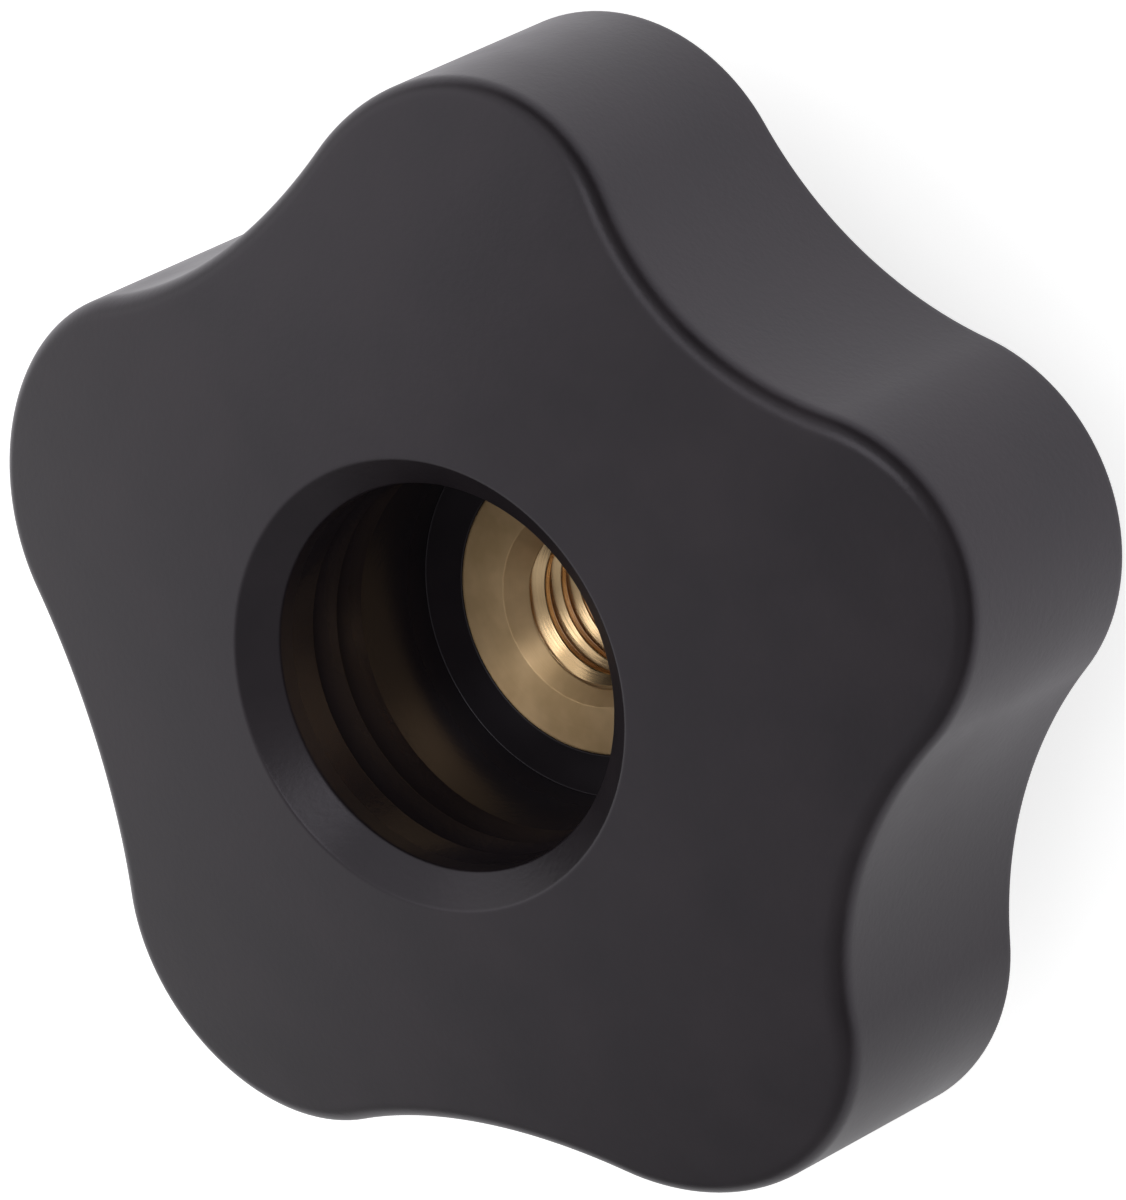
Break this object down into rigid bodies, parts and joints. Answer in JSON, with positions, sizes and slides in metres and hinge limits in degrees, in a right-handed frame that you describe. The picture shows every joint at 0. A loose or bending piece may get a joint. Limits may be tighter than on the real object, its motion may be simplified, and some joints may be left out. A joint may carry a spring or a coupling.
{
  "type": "star knob",
  "caption": "Lobed star knob, moulded plastic with a crowned face, a round cap recess in front and a threaded brass insert through its rear hub.",
  "frame": {"origin": "centre of the hub's end face, on the thread's axis", "axes": "+Z along the thread's axis, from the hub's end face towards the crowned front face; one lobe points along +X"},
  "size_m": [0.0469, 0.0484, 0.0257],
  "materials": {
    "moulded_plastic": "matt black moulded thermoplastic, fine spark-eroded grain",
    "turned_brass": "turned brass, fine concentric tool marks"
  },
  "bodies": {
    "root": {"knob_body": "moulded_plastic", "brass_insert": "turned_brass"}
  },
  "joints": []
}
